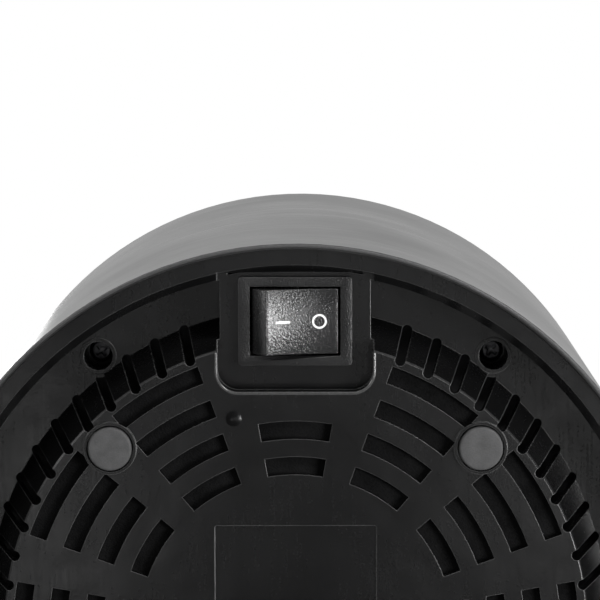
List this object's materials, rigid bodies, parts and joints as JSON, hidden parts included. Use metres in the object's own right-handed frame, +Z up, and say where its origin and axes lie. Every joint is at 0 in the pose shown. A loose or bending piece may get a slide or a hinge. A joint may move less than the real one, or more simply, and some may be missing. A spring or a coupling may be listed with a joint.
{
  "type": "filament dryer",
  "caption": "Round heated drum that dries a filament spool on a turntable, with a vented base, fan, heater, power rocker, control panel and lift-off lid.",
  "frame": {"origin": "on the table under the drum's axis, at the level of the rubber feet", "axes": "+Z up along the drum's axis, +Y towards the power switch at the back, -Y towards the control panel"},
  "size_m": [0.216, 0.216, 0.2074],
  "materials": {
    "shell_plastic": "satin black, faint rings round the wall",
    "pan_plastic": "semi-gloss black moulding with scuffs",
    "foot_rubber": "dull dark grey",
    "zinc_steel": "zinc plated",
    "switch_plastic": "fine moulded grain",
    "rocker_plastic": "fine moulded grain",
    "white_ink": "printed mark",
    "contact_brass": "bright",
    "filter_foam": "fibrous pad",
    "deck_plastic": "moulded",
    "fan_plastic": "moulded",
    "copper_winding": "varnished winding",
    "bearing_steel": "ground",
    "magnet_ferrite": "sintered",
    "heater_plastic": "heat resistant",
    "heater_aluminium": "mill finish",
    "fuse_ceramic": "unglazed",
    "sensor_epoxy": "dipped",
    "board_laminate": "solder mask",
    "transformer_tape": "taped",
    "capacitor_sleeve": "shrink sleeve",
    "relay_case": "moulded",
    "socket_plastic": "moulded",
    "wire_jacket": "extruded",
    "display_body": "glass front",
    "panel_plastic": "gloss black",
    "smoked_lens": "smoked, polished",
    "button_plastic": "satin grey",
    "liner_plastic": "satin grey moulding",
    "sensor_plastic": "white case",
    "turntable_plastic": "satin light grey",
    "pad_rubber": "dull",
    "outlet_plastic": "turned nylon",
    "plug_rubber": "soft",
    "lid_plastic": "satin black",
    "window_plastic": "smoked clear sheet",
    "seal_silicone": "silicone",
    "dial_plastic": "satin"
  },
  "bodies": {
    "housing": {"outer_shell": "shell_plastic", "base_pan": "pan_plastic", "rubber_feet": "foot_rubber", "base_screws": "zinc_steel", "switch_housing": "switch_plastic", "switch_terminals": "contact_brass", "dust_filter": "filter_foam", "fan_deck": "deck_plastic", "fan_frame": "fan_plastic", "fan_stator": "copper_winding", "fan_bearings": "bearing_steel", "fan_screws": "zinc_steel", "heater_frame": "heater_plastic", "heater_bars": "heater_aluminium", "heater_fins": "heater_aluminium", "thermal_fuse": "fuse_ceramic", "thermistor": "sensor_epoxy", "power_board": "board_laminate", "board_screws": "zinc_steel", "power_transformer": "transformer_tape", "power_capacitors": "capacitor_sleeve", "power_relay": "relay_case", "inlet_socket": "socket_plastic", "inlet_pins": "contact_brass", "wiring_harness": "wire_jacket", "control_board": "board_laminate", "display_module": "display_body", "tact_switches": "switch_plastic", "panel_bezel": "panel_plastic", "display_lens": "smoked_lens", "chamber_liner": "liner_plastic", "liner_screws": "zinc_steel", "humidity_sensor": "sensor_plastic", "spindle": "bearing_steel", "bearing_inner_ring": "bearing_steel", "spindle_clip": "bearing_steel", "filament_outlets": "outlet_plastic"},
    "rocker": {"switch_rocker": "rocker_plastic", "rocker_marks": "white_ink"},
    "impeller": {"fan_impeller": "fan_plastic", "fan_magnet_ring": "magnet_ferrite", "fan_shaft": "bearing_steel"},
    "turntable": {"turntable": "turntable_plastic", "turntable_pads": "pad_rubber", "bearing_outer_ring": "bearing_steel", "bearing_balls": "bearing_steel"},
    "power_button": {"power_button": "button_plastic"},
    "up_button": {"up_button": "button_plastic"},
    "down_button": {"down_button": "button_plastic"},
    "plug": {"outlet_plug": "plug_rubber"},
    "lid": {"lid_frame": "lid_plastic", "lid_window": "window_plastic", "lid_seal": "seal_silicone", "vent_base": "lid_plastic", "vent_screw": "zinc_steel"},
    "vent_dial": {"vent_dial": "dial_plastic"}
  },
  "joints": [
    {"name": "rocker_tilt", "type": "hinge", "parent": "housing", "child": "rocker", "pos_m": [0, 0.0862, 0.0125], "axis": [0, -1, 0], "range_deg": [0, 26]},
    {"name": "fan_spin", "type": "hinge", "parent": "housing", "child": "impeller", "pos_m": [0, 0, 0.053], "axis": [0, 0, 1], "continuous": true},
    {"name": "turntable_spin", "type": "hinge", "parent": "housing", "child": "turntable", "pos_m": [0, 0, 0.098], "axis": [0, 0, 1], "continuous": true},
    {"name": "power_button_press", "type": "slide", "parent": "housing", "child": "power_button", "axis": [0, 1, 0], "range_m": [0, 0.0008], "stiffness_N_per_m": 800},
    {"name": "up_button_press", "type": "slide", "parent": "housing", "child": "up_button", "axis": [0, 1, 0], "range_m": [0, 0.0008], "stiffness_N_per_m": 800},
    {"name": "down_button_press", "type": "slide", "parent": "housing", "child": "down_button", "axis": [0, 1, 0], "range_m": [0, 0.0008], "stiffness_N_per_m": 800},
    {"name": "plug_pull", "type": "slide", "parent": "housing", "child": "plug", "axis": [0.6428, -0.766, 0], "range_m": [0, 0.03]},
    {"name": "lid_lift", "type": "slide", "parent": "housing", "child": "lid", "axis": [0, 0, 1], "range_m": [0, 0.25]},
    {"name": "vent_turn", "type": "hinge", "parent": "lid", "child": "vent_dial", "pos_m": [0, 0, 0.2], "axis": [0, 0, 1], "range_deg": [0, 30]}
  ]
}
